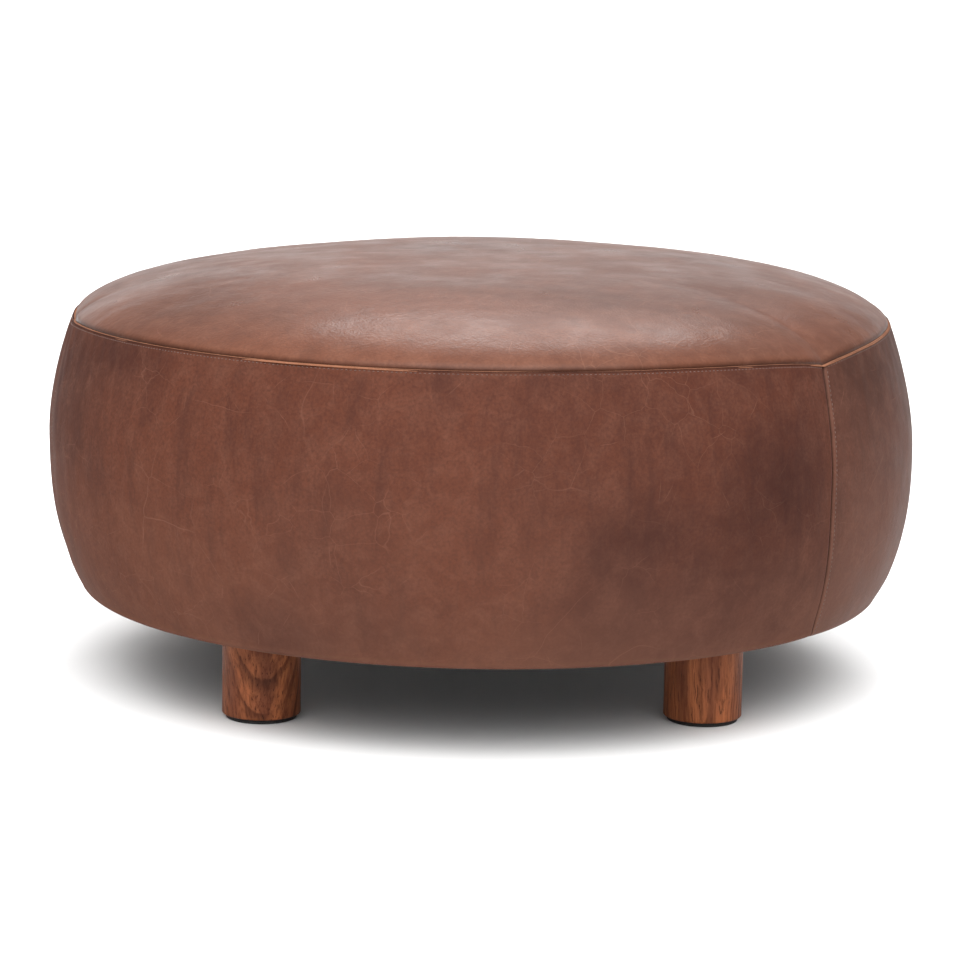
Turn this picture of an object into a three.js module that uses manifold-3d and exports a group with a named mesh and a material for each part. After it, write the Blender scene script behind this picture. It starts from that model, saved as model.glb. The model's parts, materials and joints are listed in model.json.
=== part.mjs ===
// Round leather ottoman on four turned wooden legs, built up from its timber frame outwards.
// Millimetres, +Z up. The origin is on the floor, under the middle of the body.
import * as THREE from "three";
import { mergeVertices } from "three/addons/utils/BufferGeometryUtils.js";
import Module from "manifold-3d";

const wasm = await Module();
wasm.setup();

// ---- Driving dimensions -------------------------------------------------------------------

const GAP = 0.4; // clearance between touching pieces
const SIDES = 36; // facets round every body layer, so that nested layers keep an even gap
const LEG_SIDES = 24;
const SMALL_SIDES = 12; // facets round the bolts and their holes

// The leather surface. The side is a barrel that is fullest at BULGE_Z, and the top is a crown.
const BULGE_RADIUS = 450;
const BULGE_Z = 255;
const SEAM_RADIUS = 425.3;
const SEAM_Z = 380;
const CROWN_RISE = 59;
const CROWN_POWERS = { radius: 2.5, height: 0.65 }; // a full crown with a rounded shoulder
const BARREL_POWERS = { above: 1.75, below: 2.7 }; // how suddenly the side curves in
const LOWER_TAPER = 35.5; // how far the side draws in from the bulge down to TAPER_Z
const TAPER_Z = 93.2;
const UNDERSIDE_Z = 94;
const RIM_RADIUS = 408; // centre of the rounded bottom edge
const RIM_ROUND = 12;
const RETURN_RADIUS = 360; // how far in the side leather is turned under and stapled

// Thickness of each soft layer
const LEATHER = 1.8;
const BATTING = 6;
const CLOTH = 0.7;
const WELT_RADIUS = 1.6;

// Frame
const BOARD_RADIUS = 388;
const BASE_BOARD = { bottom: UNDERSIDE_Z + LEATHER + GAP, thick: 18 };
const SEAT_BOARD = { top: 300, thick: 15 };
const SIDE_BOARD = { inner: 389, thick: 3 };
const POST = { count: 8, size: 38, circle: 345, turn: Math.PI / 8 };
const CENTRE_POST = 60;
const BLOCK = { size: 110, thick: 24 };

// Legs, on a square
const LEG = { count: 4, radius: 39.2, circle: 312.5, turn: Math.PI / 4, chamfer: 1.5 };
const GLIDE = { radius: 35.5, thick: 4 };
const BOLT = { radius: 4, inLeg: 40, above: 44, point: 5 };
const TEE_NUT = { flange: 11, flangeThick: 1.6, barrel: 5, length: 10.6 };

// Where the three side panels meet, as angles from +X round to +Y
const PANEL_SEAMS = [-40.5, 74, 187].map(THREE.MathUtils.degToRad);

// ---- Materials ----------------------------------------------------------------------------

const material = (color, roughness, metalness = 0) =>
  new THREE.MeshStandardMaterial({ color, roughness, metalness });

const LEATHER_TOP = [0x7e5446, 0.42];
const LEATHER_SIDE = [0x6b4336, 0.48];
const LEATHER_EDGE = [0xa9765c, 0.6];
const WALNUT = [0x6a3a28, 0.4];
const RUBBER = [0x1c1a19, 0.85];
const PLYWOOD = [0xc9a877, 0.75];
const PINE = [0xd7b98a, 0.75];
const HARDBOARD = [0x8a6238, 0.8];
const FOAM = [0xe9dfb4, 0.95];
const WADDING = [0xf2f1ec, 0.95];
const CAMBRIC = [0x242323, 0.9];
const ZINC = [0xb9bcc0, 0.35, 1];

const ottoman = new THREE.Group();

function addPiece(name, geometry, look, parent = ottoman) {
  const mesh = new THREE.Mesh(geometry, material(...look));
  mesh.name = name;
  parent.add(mesh);
  return mesh;
}

// ---- Geometry helpers ---------------------------------------------------------------------

// A solid turned about the Z axis from (radius, z) points that run anticlockwise.
function turned(points, sides = SIDES) {
  const profile = points.map(([r, z]) => new THREE.Vector2(r, z));
  return new THREE.LatheGeometry(profile, sides).rotateX(Math.PI / 2);
}

function closed(points) {
  return [...points, points[0]];
}

// A disc or ring between two heights, or a solid disc when it has no inner radius.
function round(inner, outer, bottom, top, sides = SIDES) {
  return inner > 0
    ? turned(closed([[inner, bottom], [outer, bottom], [outer, top], [inner, top]]), sides)
    : turned([[0, bottom], [outer, bottom], [outer, top], [0, top]], sides);
}

function slab(width, depth, bottom, top) {
  const box = new THREE.BoxGeometry(width, depth, top - bottom);
  return box.translate(0, 0, (top + bottom) / 2);
}

function toSolid(geometry) {
  const bare = geometry.clone();
  bare.deleteAttribute("normal");
  bare.deleteAttribute("uv");
  const welded = mergeVertices(bare, 1e-4);
  return new wasm.Manifold(
    new wasm.Mesh({
      numProp: 3,
      vertProperties: new Float32Array(welded.attributes.position.array),
      triVerts: new Uint32Array(welded.index.array),
    }),
  );
}

function toGeometry(solid) {
  const mesh = solid.getMesh();
  const geometry = new THREE.BufferGeometry();
  geometry.setAttribute("position", new THREE.BufferAttribute(mesh.vertProperties, 3));
  geometry.setIndex(new THREE.BufferAttribute(mesh.triVerts, 1));
  geometry.computeVertexNormals();
  return geometry;
}

function cut(geometry, ...tools) {
  return toGeometry(tools.reduce((solid, tool) => solid.subtract(toSolid(tool)), toSolid(geometry)));
}

// Places of repeated pieces, evenly round a circle.
function aroundCircle({ count, circle, turn }) {
  return Array.from({ length: count }, (_, i) => {
    const angle = turn + (i * 2 * Math.PI) / count;
    return { angle, x: circle * Math.cos(angle), y: circle * Math.sin(angle), label: i + 1 };
  });
}

// ---- The leather surface ------------------------------------------------------------------

function sideRadius(z) {
  const above = (z - BULGE_Z) / (SEAM_Z - BULGE_Z);
  const below = (BULGE_Z - z) / (BULGE_Z - TAPER_Z);
  return z > BULGE_Z
    ? BULGE_RADIUS - (BULGE_RADIUS - SEAM_RADIUS) * above ** BARREL_POWERS.above
    : BULGE_RADIUS - LOWER_TAPER * below ** BARREL_POWERS.below;
}

function crownHeight(r) {
  const fall = (r / SEAM_RADIUS) ** CROWN_POWERS.radius;
  return SEAM_Z + CROWN_RISE * (1 - fall) ** CROWN_POWERS.height;
}

// Points on a curve, each with its outward normal, moved inwards by a depth.
function inset(curve, depth) {
  return curve.map(([r, z], i) => {
    const [r0, z0] = curve[Math.max(i - 1, 0)];
    const [r1, z1] = curve[Math.min(i + 1, curve.length - 1)];
    const length = Math.hypot(r1 - r0, z1 - z0);
    const moved = r - (depth * (z1 - z0)) / length;
    return [Math.max(moved, 0), z + (depth * (r1 - r0)) / length];
  });
}

// Height of a curve of straight stretches at a radius; the curve runs from outside to inside.
function heightOn(curve, r) {
  const i = curve.findIndex(([radius]) => radius <= r);
  const [[r0, z0], [r1, z1]] = [curve[i - 1], curve[i]];
  return z0 + ((z1 - z0) * (r0 - r)) / (r0 - r1);
}

const RIM_STEPS = [-90, -60, -30].map(THREE.MathUtils.degToRad);
const rimCurve = RIM_STEPS.map((a) => [
  RIM_RADIUS + RIM_ROUND * Math.cos(a),
  UNDERSIDE_Z + RIM_ROUND + RIM_ROUND * Math.sin(a),
]);
const SIDE_STATIONS = [128, 160, 200, 255, 305, 345, SEAM_Z];
const sideCurve = SIDE_STATIONS.map((z) => [sideRadius(z), z]);
const CROWN_SHARES = [1, 0.99, 0.95, 0.88, 0.77, 0.61, 0.36];
const crownCurve = CROWN_SHARES.map((share) => [
  share * SEAM_RADIUS,
  crownHeight(share * SEAM_RADIUS),
]);
const crownTop = (depth) => [0, SEAM_Z + CROWN_RISE - depth];

// ---- Timber frame -------------------------------------------------------------------------

const legPlaces = aroundCircle(LEG);
const baseTop = BASE_BOARD.bottom + BASE_BOARD.thick;
const seatBottom = SEAT_BOARD.top - SEAT_BOARD.thick;
const blockTop = baseTop + GAP + BLOCK.thick;

// Holes through a layer under each leg bolt
function boltHoles(radius, bottom, top) {
  return legPlaces.map(({ x, y }) =>
    round(0, radius, bottom - 1, top + 1, SMALL_SIDES).translate(x, y, 0),
  );
}

const boltClearance = BOLT.radius + 1;
addPiece(
  "base_board",
  cut(
    round(0, BOARD_RADIUS, BASE_BOARD.bottom, baseTop),
    ...boltHoles(boltClearance, BASE_BOARD.bottom, baseTop),
  ),
  PLYWOOD,
);
addPiece("seat_board", round(0, BOARD_RADIUS, seatBottom, SEAT_BOARD.top), PLYWOOD);
addPiece(
  "side_board",
  round(SIDE_BOARD.inner, SIDE_BOARD.inner + SIDE_BOARD.thick, BASE_BOARD.bottom, SEAT_BOARD.top),
  HARDBOARD,
);

const postEnds = [baseTop + GAP, seatBottom - GAP];
for (const { x, y, angle, label } of aroundCircle(POST)) {
  const post = addPiece(`frame_post_${label}`, slab(POST.size, POST.size, ...postEnds), PINE);
  post.position.set(x, y, 0);
  post.rotation.z = angle;
}
addPiece("centre_post", slab(CENTRE_POST, CENTRE_POST, ...postEnds), PINE);

// ---- Legs and how they are fixed ----------------------------------------------------------

const legTop = UNDERSIDE_Z + LEATHER + GAP - CLOTH - 2 * GAP;
const legBottom = GLIDE.thick + GAP;

function legShape() {
  const { radius, chamfer } = LEG;
  const pilot = BOLT.radius + GAP;
  const pilotEnd = legTop - BOLT.inLeg - GAP;
  return turned(
    [
      [0, legBottom],
      [radius - chamfer, legBottom],
      [radius, legBottom + chamfer],
      [radius, legTop - chamfer],
      [radius - chamfer, legTop],
      [pilot, legTop],
      [pilot, pilotEnd],
      [0, pilotEnd],
    ],
    LEG_SIDES,
  );
}

function boltShape() {
  const bottom = legTop - BOLT.inLeg;
  const top = legTop + BOLT.above;
  return turned(
    [
      [0, bottom],
      [BOLT.radius * 0.4, bottom],
      [BOLT.radius, bottom + BOLT.point],
      [BOLT.radius, top - 1],
      [BOLT.radius - 1, top],
      [0, top],
    ],
    SMALL_SIDES,
  );
}

// A flange on top of the block, and a threaded barrel that hangs down inside it.
function teeNutShape() {
  const bore = BOLT.radius + GAP;
  const seat = blockTop + GAP;
  return turned(
    closed([
      [bore, seat - TEE_NUT.length],
      [TEE_NUT.barrel, seat - TEE_NUT.length],
      [TEE_NUT.barrel, seat],
      [TEE_NUT.flange, seat],
      [TEE_NUT.flange, seat + TEE_NUT.flangeThick],
      [bore, seat + TEE_NUT.flangeThick],
    ]),
    SMALL_SIDES,
  );
}

for (const { x, y, angle, label } of legPlaces) {
  const station = new THREE.Group();
  station.position.set(x, y, 0);
  station.rotation.z = angle;
  ottoman.add(station);
  addPiece(`leg_${label}`, legShape(), WALNUT, station);
  addPiece(`glide_${label}`, round(0, GLIDE.radius, 0, GLIDE.thick, LEG_SIDES), RUBBER, station);
  addPiece(`hanger_bolt_${label}`, boltShape(), ZINC, station);
  addPiece(`tee_nut_${label}`, teeNutShape(), ZINC, station);
  const hole = round(0, TEE_NUT.barrel + GAP, baseTop, blockTop + 1, SMALL_SIDES);
  const block = slab(BLOCK.size, BLOCK.size, baseTop + GAP, blockTop);
  addPiece(`leg_block_${label}`, cut(block, hole), PINE, station);
}

// ---- Foam and wadding ---------------------------------------------------------------------

const wadDepth = LEATHER + GAP;
const foamDepth = wadDepth + BATTING + GAP;
const boardOuter = SIDE_BOARD.inner + SIDE_BOARD.thick;
const foamSplit = boardOuter + GAP; // the seat foam ends here, and the side foam starts

// The seat foam follows the crown as far out as the side board.
function seatFoamShape() {
  const dome = inset(crownCurve, foamDepth);
  const edge = heightOn(dome, boardOuter);
  return turned([
    [0, SEAT_BOARD.top + GAP],
    [boardOuter, SEAT_BOARD.top + GAP],
    [boardOuter, edge],
    ...dome.filter(([r]) => r < boardOuter - 1),
    crownTop(foamDepth),
  ]);
}

// The side foam fills the barrel outside the side board, up to the seam.
function sideFoamShape() {
  const bottom = BASE_BOARD.bottom + BATTING + GAP;
  const outer = inset(sideCurve, foamDepth).filter(([, z]) => z > bottom + 8);
  const [seamR, seamZ] = outer[outer.length - 1];
  return turned(
    closed([
      [foamSplit, bottom],
      [sideRadius(bottom) - foamDepth - 6, bottom],
      ...outer.slice(0, -1),
      [seamR, seamZ - 2 * BATTING],
      [foamSplit, heightOn(inset(crownCurve, foamDepth), boardOuter) - 2 * GAP],
    ]),
  );
}

// Wadding under the side leather, from the bottom edge up to the seam
function sideBattingShape() {
  const outside = inset(sideCurve, wadDepth);
  const inside = inset(sideCurve, wadDepth + BATTING);
  const [r, z] = outside.pop();
  const [r2] = inside.pop();
  const top = z - 2 * BATTING;
  return turned(closed([...outside, [r, top], [r2, top], ...inside.reverse()]));
}

// Wadding under the crown, which laps over the top of the side wadding
function crownBattingShape() {
  const outside = inset(crownCurve, wadDepth).slice(2);
  const inside = inset(crownCurve, wadDepth + BATTING).slice(2);
  return turned([
    crownTop(wadDepth + BATTING),
    ...inside.reverse(),
    ...outside,
    crownTop(wadDepth),
  ]);
}

addPiece("seat_foam", seatFoamShape(), FOAM);
addPiece("side_foam", sideFoamShape(), FOAM);
addPiece("side_batting", sideBattingShape(), WADDING);
addPiece("crown_batting", crownBattingShape(), WADDING);

// ---- Leather cover ------------------------------------------------------------------------

function topLeatherShape() {
  const outside = crownCurve.slice(1);
  const inside = inset(crownCurve, LEATHER).slice(1);
  return turned([crownTop(LEATHER), ...inside.reverse(), ...outside, crownTop(0)]);
}

// The side skin: turned under at the bottom, up the barrel, and in under the crown at the seam
function sideSkinShape() {
  const under = UNDERSIDE_Z + LEATHER;
  const outside = [...rimCurve, ...sideCurve];
  const inside = inset(outside, LEATHER).slice(1);
  const seamTop = SEAM_Z - GAP;
  outside[outside.length - 1][1] = seamTop;
  inside[inside.length - 1][1] = seamTop;
  return turned(
    closed([
      [RETURN_RADIUS, UNDERSIDE_Z],
      ...outside,
      ...inside.reverse(),
      [RIM_RADIUS, under],
      [RETURN_RADIUS, under],
    ]),
  );
}

// A wedge that covers the skin from one angle round to another
function wedge(from, to) {
  const reach = 2 * BULGE_RADIUS;
  const shape = new THREE.Shape();
  shape.moveTo(0, 0);
  const steps = 6;
  for (let i = 0; i <= steps; i += 1) {
    const angle = from + ((to - from) * i) / steps;
    shape.lineTo(reach * Math.cos(angle), reach * Math.sin(angle));
  }
  shape.closePath();
  return new THREE.ExtrudeGeometry(shape, { depth: 2 * SEAM_Z, bevelEnabled: false });
}

const skin = toSolid(sideSkinShape());
const seamGap = GAP / 2 / BULGE_RADIUS;
["side_leather_right", "side_leather_left", "side_leather_front"].forEach((name, i) => {
  const from = PANEL_SEAMS[i];
  const to = i < 2 ? PANEL_SEAMS[i + 1] : PANEL_SEAMS[0] + 2 * Math.PI;
  const panel = skin.intersect(toSolid(wedge(from + seamGap, to - seamGap)));
  addPiece(name, toGeometry(panel), LEATHER_SIDE);
});
addPiece("top_leather", topLeatherShape(), LEATHER_TOP);

// A thin folded strip sewn into the seam between the top and the sides
function weltShape() {
  const middle = SEAM_RADIUS + WELT_RADIUS + GAP;
  const corners = Array.from({ length: 6 }, (_, i) => {
    const angle = (i * Math.PI) / 3;
    return [middle + WELT_RADIUS * Math.cos(angle), SEAM_Z + WELT_RADIUS * Math.sin(angle)];
  });
  return turned(closed(corners));
}
addPiece("seam_welt", weltShape(), LEATHER_EDGE);

// Cambric over the underside: it lies on the turned leather at its edge, and on the board inside.
function dustCoverShape() {
  const outer = RETURN_RADIUS + 10;
  const inner = RETURN_RADIUS - 3;
  const onLeather = UNDERSIDE_Z - GAP;
  const onBoard = BASE_BOARD.bottom - GAP;
  const lower = [[0, onBoard - CLOTH], [inner - 2, onBoard - CLOTH]];
  const edge = [[inner, onLeather - CLOTH], [outer, onLeather - CLOTH], [outer, onLeather]];
  const upper = [[inner + 2, onLeather], [inner, onBoard], [0, onBoard]];
  return turned([...lower, ...edge, ...upper]);
}
addPiece(
  "dust_cover",
  cut(dustCoverShape(), ...boltHoles(boltClearance, UNDERSIDE_Z - 5, UNDERSIDE_Z + 5)),
  CAMBRIC,
);

export default ottoman;
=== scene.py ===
"""A round leather ottoman on four turned wooden legs, in metres, +Z up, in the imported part's frame.

The smooth cover, its seams, the foam and wadding under it, the legs, the glides and the dust cover
replace the faceted CAD solids. The timber frame and the steel fittings keep their CAD shapes.
"""

import json
import math

import bpy
import numpy as np
from mathutils import Matrix, Vector


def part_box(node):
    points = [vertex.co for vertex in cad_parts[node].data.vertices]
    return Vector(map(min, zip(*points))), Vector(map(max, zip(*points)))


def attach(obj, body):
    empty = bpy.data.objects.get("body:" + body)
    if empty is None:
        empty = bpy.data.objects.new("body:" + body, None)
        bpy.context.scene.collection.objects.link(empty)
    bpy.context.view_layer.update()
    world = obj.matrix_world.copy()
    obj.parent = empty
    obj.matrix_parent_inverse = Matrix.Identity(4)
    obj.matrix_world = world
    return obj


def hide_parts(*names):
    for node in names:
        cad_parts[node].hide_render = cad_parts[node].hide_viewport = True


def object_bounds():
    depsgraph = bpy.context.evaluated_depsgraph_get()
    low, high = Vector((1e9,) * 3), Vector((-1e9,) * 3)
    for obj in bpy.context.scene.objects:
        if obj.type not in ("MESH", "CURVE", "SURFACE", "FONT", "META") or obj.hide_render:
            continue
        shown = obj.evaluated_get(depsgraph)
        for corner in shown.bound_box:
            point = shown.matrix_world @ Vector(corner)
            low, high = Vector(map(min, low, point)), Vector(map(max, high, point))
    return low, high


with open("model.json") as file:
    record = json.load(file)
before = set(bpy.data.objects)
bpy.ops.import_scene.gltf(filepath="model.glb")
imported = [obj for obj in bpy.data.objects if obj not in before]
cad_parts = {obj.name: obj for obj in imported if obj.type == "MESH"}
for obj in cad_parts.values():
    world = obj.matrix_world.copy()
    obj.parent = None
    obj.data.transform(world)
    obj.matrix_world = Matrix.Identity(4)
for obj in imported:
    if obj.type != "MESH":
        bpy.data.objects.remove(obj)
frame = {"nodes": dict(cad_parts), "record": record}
cad_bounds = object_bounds()

# ---- Driving dimensions, in metres ----

MM = 0.001
WELT_LOW, WELT_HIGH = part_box("seam_welt")

BULGE_RADIUS = (cad_bounds[1].y - cad_bounds[0].y) / 2
SEAM_Z = (WELT_LOW.z + WELT_HIGH.z) / 2
SEAM_RADIUS = 425.3 * MM
CROWN_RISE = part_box("top_leather")[1].z - SEAM_Z
UNDERSIDE_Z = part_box("side_leather_front")[0].z
BULGE_Z = 255 * MM
LOWER_TAPER = 35.5 * MM
TAPER_Z = 93.2 * MM
RIM_RADIUS = 408 * MM
RIM_ROUND = 12 * MM
RETURN_RADIUS = 360 * MM

LEATHER = 1.8 * MM
LAYER_GAP = 0.4 * MM
BATTING = 6 * MM
WAD_DEPTH = LEATHER + LAYER_GAP
FOAM_DEPTH = WAD_DEPTH + BATTING + LAYER_GAP

# Where the vertical seams meet the top seam, as angles from +X round to +Y, and the panels between them.
SEAM_RIGHT, SEAM_BACK, SEAM_LEFT = SEAMS = tuple(math.radians(a) for a in (-39, 74, 184))
PANEL_SPANS = {
    "right": (SEAM_RIGHT, SEAM_BACK),
    "left": (SEAM_BACK, SEAM_LEFT),
    "front": (SEAM_LEFT, SEAM_RIGHT + math.tau),
}
# How far round each seam leans, at mid height and at its foot, and how far from it the leather is dragged.
SEAM_LEANS = [(math.radians(middle), math.radians(foot)) for middle, foot in ((-2.6, -0.6), (1.0, 0.4), (6.0, 2.5))]
LEAN_REACH = 0.55
FOOT_SHIFT = 3.2 * MM  # the foot of the side stands this far over towards +X

# Each vertical seam is tight, so it pulls the top seam down and in to a point.
PULL_DOWN = 14.5 * MM
PULL_IN = 7 * MM
PULL_REACH = 0.20
SEAM_PULLS = (1.0, 0.9, 0.66)

LEG_RADIUS = 39.2 * MM
GLIDE_RADIUS = 35.5 * MM
BOLT_RADIUS = 4.4 * MM
BOLT_DEPTH = 40.4 * MM
NEAR_AXIS = 0.05 * MM  # turned profiles start and end this close to their axis

# ---- Mesh helpers ----


def linked(name, data):
    """A new object with the given data, linked into the scene."""
    made = bpy.data.objects.new(name, data)
    bpy.context.scene.collection.objects.link(made)
    return made


def new_object(name, vertices, faces):
    mesh = bpy.data.meshes.new(name)
    mesh.from_pydata([tuple(v) for v in vertices], [], [tuple(int(i) for i in f) for f in faces])
    mesh.update()
    mesh.polygons.foreach_set("use_smooth", [True] * len(mesh.polygons))
    return linked(name, mesh)


def grid_quads(index, wrap):
    """Quads of a grid of vertex numbers, rows by columns. A wrapped grid joins its last column to its first."""
    if wrap:
        index = np.concatenate([index, index[:, :1]], axis=1)
    a, b = index[:-1, :-1], index[:-1, 1:]
    c, d = index[1:, 1:], index[1:, :-1]
    return np.stack([a, b, c, d], axis=-1).reshape(-1, 4)


def shell(name, outer, inner, wrap):
    """A closed skin between two grids of points, rows by columns by 3, with its edges joined."""
    rows, cols = outer.shape[:2]
    count = rows * cols
    top = np.arange(count).reshape(rows, cols)
    low = top + count
    faces = [grid_quads(top, wrap), grid_quads(low, wrap)[:, ::-1]]
    faces += [grid_quads(np.stack(edge), wrap) for edge in ((low[0], top[0]), (top[-1], low[-1]))]
    if not wrap:
        faces += [grid_quads(np.stack(edge), False) for edge in ((top[:, 0], low[:, 0]), (low[:, -1], top[:, -1]))]
    points = np.concatenate([outer.reshape(-1, 3), inner.reshape(-1, 3)])
    return new_object(name, points, np.concatenate(faces))


def set_attribute(piece, name, values):
    """Stores one number, or one vector, for each vertex, which a material can read by name."""
    kind = "FLOAT" if values.ndim == 1 else "FLOAT_VECTOR"
    layer = piece.data.attributes.new(name, kind, "POINT")
    layer.data.foreach_set("value" if kind == "FLOAT" else "vector", values.astype(np.float32).ravel())


def set_outer_attribute(piece, name, values):
    """As set_attribute, for a shell: values for its outer grid, and 0 for its inner one."""
    outer = np.ravel(values)
    set_attribute(piece, name, np.concatenate([outer, np.zeros(len(piece.data.vertices) - len(outer))]))


def full_turn(count):
    """Evenly spaced angles all the way round."""
    return np.linspace(0, math.tau, count, endpoint=False)


def around_z(radius, angle, z):
    return np.stack([radius * np.cos(angle), radius * np.sin(angle), z + 0 * angle], axis=-1)


# ---- Smooth fields ----

WAVE_COUNT = 28


def bell(distance, width):
    """1 at no distance, falling away smoothly over about the width."""
    return np.exp(-((distance / width) ** 2))


def fade(distance, reach):
    """1 at no distance, falling away as an exponential."""
    return np.exp(-distance / reach)


def waves(points, size, seed, stretch=(1, 1, 1)):
    """A smooth random height at each point, about 1 high, whose hills are about size metres apart."""
    random = np.random.default_rng(seed)
    direction = random.normal(size=(WAVE_COUNT, 3))
    direction /= np.linalg.norm(direction, axis=1, keepdims=True)
    spread = random.uniform(0.7, 1.4, size=(WAVE_COUNT, 1))
    k = direction * spread * 2 * math.pi / size / np.array(stretch)
    phase = random.uniform(0, math.tau, size=WAVE_COUNT)
    total = np.zeros(points.shape[:-1])
    for wave, shift in zip(k, phase):
        total += np.cos(points @ wave + shift)
    return total * math.sqrt(2 / WAVE_COUNT)


def creases(points, size, width, seed, stretch=(1, 1, 1)):
    """Narrow lines, 1 at their middle and 0 away from them, that wander over the surface."""
    return bell(waves(points, size, seed, stretch), width)


def smooth_step(low, high, x):
    t = np.clip((x - low) / (high - low), 0, 1)
    return t * t * (3 - 2 * t)


# ---- The surface of the cover ----

# Hills in the leather: height, size, seed and stretch.
SIDE_HILLS = [(0.8 * MM, 0.30, 11, (1, 1, 1)), (0.35 * MM, 0.12, 12, (1, 1, 1.8)), (0.10 * MM, 0.045, 13, (1, 1, 2.5))]
CROWN_HILLS = [
    (0.7 * MM, 0.36, 31, (1, 1, 1)),
    (0.22 * MM, 0.13, 32, (1.8, 0.7, 1)),
    (0.06 * MM, 0.05, 33, (2.0, 0.7, 1)),
]
ABOVE_POWER, BELOW_POWER = 1.75, 2.55  # how the side curves in above and below its bulge
CROWN_POWER, CROWN_ROUND = 2.5, 0.61
SIDE_FULLNESS, CROWN_FULLNESS = 1.8 * MM, 1.6 * MM
CROWN_TILT, CROWN_SCOOP = 7.5e-3, 11e-3  # the crown rises towards +X, and a little towards both ends of X
SEAM_GROOVE = 1.9 * MM
SEAM_HOLLOW, HOLLOW_REACH = 1.6 * MM, 20 * MM
PLEAT_SIZE, PLEAT_DEPTH, PLEAT_REACH = 21 * MM, 0.60 * MM, 65 * MM


def hills(points, table, share):
    return sum(height * waves(points, size, seed, stretch) * share for height, size, seed, stretch in table)


def seam_lean(turn, share):
    """How far round the cover is dragged, at a share of the side's height, by the seams' lean."""
    lean = 0
    for seam, (middle, foot) in zip(SEAMS, SEAM_LEANS):
        arch = (1 - share) * (4 * (middle - foot / 2) * share + foot)
        lean = lean + arch * bell(turn_between(turn, seam), LEAN_REACH)
    return lean


def turn_between(angle, other):
    return (angle - other + math.pi) % math.tau - math.pi


def seam_pull(angle):
    """1 at a vertical seam, falling away on both sides of it."""
    return sum(pull * fade(np.abs(turn_between(angle, seam)), PULL_REACH) for seam, pull in zip(SEAMS, SEAM_PULLS))


def seam_distance(angle):
    """Distance along the side to the nearest vertical seam."""
    gaps = [np.abs(turn_between(angle, seam)) for seam in SEAMS]
    return np.minimum.reduce(gaps) * BULGE_RADIUS


def side_radius(z):
    above = np.clip((z - BULGE_Z) / (SEAM_Z - BULGE_Z), 0, None)
    below = np.clip((BULGE_Z - z) / (BULGE_Z - TAPER_Z), 0, None)
    return BULGE_RADIUS - (BULGE_RADIUS - SEAM_RADIUS) * above**ABOVE_POWER - LOWER_TAPER * below**BELOW_POWER


def seam_line(angle):
    """Radius and height of the top seam all round."""
    pull = seam_pull(angle)
    return SEAM_RADIUS - PULL_IN * pull, SEAM_Z - PULL_DOWN * pull


def side_profile():
    """Rows of the side skin from the turned-under edge up to the seam, as (radius, height)."""
    flange = [(r, UNDERSIDE_Z) for r in np.linspace(RETURN_RADIUS, RIM_RADIUS, 7)[:-1]]
    rim = [
        (RIM_RADIUS + RIM_ROUND * math.cos(a), UNDERSIDE_Z + RIM_ROUND + RIM_ROUND * math.sin(a))
        for a in np.radians(np.linspace(-90, -30, 9))
    ]
    start = rim[-1][1]
    share = np.linspace(0, 1, 100)[1:]
    share = 1 - (1 - share) ** 1.18
    wall = [(float(side_radius(z)), z) for z in start + (SEAM_Z - start) * share]
    return np.array(flange + rim + wall)


def normals_of(profile):
    """Outward unit normals of a profile, as (radius part, height part)."""
    step = np.gradient(profile, axis=0)
    step /= np.linalg.norm(step, axis=1, keepdims=True)
    return np.stack([step[:, 1], -step[:, 0]], axis=1)


SIDE_PROFILE = side_profile()
SIDE_NORMALS = normals_of(SIDE_PROFILE)


def side_relief(points, angle, height_share):
    """How far the leather of the side stands out from its plain shape."""
    wall = smooth_step(0.0, 0.12, height_share)
    d = seam_distance(angle)
    relief = hills(points, SIDE_HILLS, wall) + SIDE_FULLNESS * wall
    groove = SEAM_GROOVE * np.exp(-((d / SEAM_GROOVE) ** 1.4)) + SEAM_HOLLOW * fade(d, HOLLOW_REACH)
    relief -= groove * smooth_step(-0.02, 0.1, height_share)
    below_seam = 1 - height_share
    near_top = fade(below_seam, 0.16) * (1 - fade(below_seam, 0.02))
    around = around_z(BULGE_RADIUS, angle, 0)
    pleats = 0.18 + 1.1 * fade(d, PLEAT_REACH)
    relief += PLEAT_DEPTH * waves(around, PLEAT_SIZE, 21) * near_top * pleats
    lower = smooth_step(0.0, 0.06, height_share) * fade(height_share, 0.10)
    relief += 0.45 * MM * waves(around, 0.05, 22) * lower
    folds = creases(points, 0.13, 0.10, 23, (2.2, 2.2, 0.8)) * wall
    relief -= 0.25 * MM * folds * smooth_step(0.4, 1.5, waves(points, 0.25, 24) + 0.4)
    return relief + blown("side", height_share * BLANK_ROWS, (angle / math.tau % 1) * BLANK_COLUMNS)


def side_surface(angle, depth, profile=None, normals=None):
    """Points of the side at each profile row and angle, at a depth under the leather's face."""
    profile = SIDE_PROFILE if profile is None else profile
    normals = SIDE_NORMALS if normals is None else normals
    r = profile[:, :1] + 0 * angle[None]
    z = profile[:, 1:] + 0 * angle[None]
    share = np.clip((z - TAPER_Z) / (SEAM_Z - TAPER_Z), 0, 1)
    turn = angle[None] + 0 * r
    pull = seam_pull(turn)
    points = around_z(r, turn, z)
    leaning_forward = FOOT_SHIFT * np.cos(turn) * (1 - share) ** 2
    out = side_relief(points, turn, share) + leaning_forward * normals[:, :1] - depth
    near_top = share**4
    r = r - PULL_IN * pull * near_top + out * normals[:, :1]
    z = z - PULL_DOWN * pull * share**3 + out * normals[:, 1:]
    turn = turn + seam_lean(turn, share)
    return around_z(r, turn, z)


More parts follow.
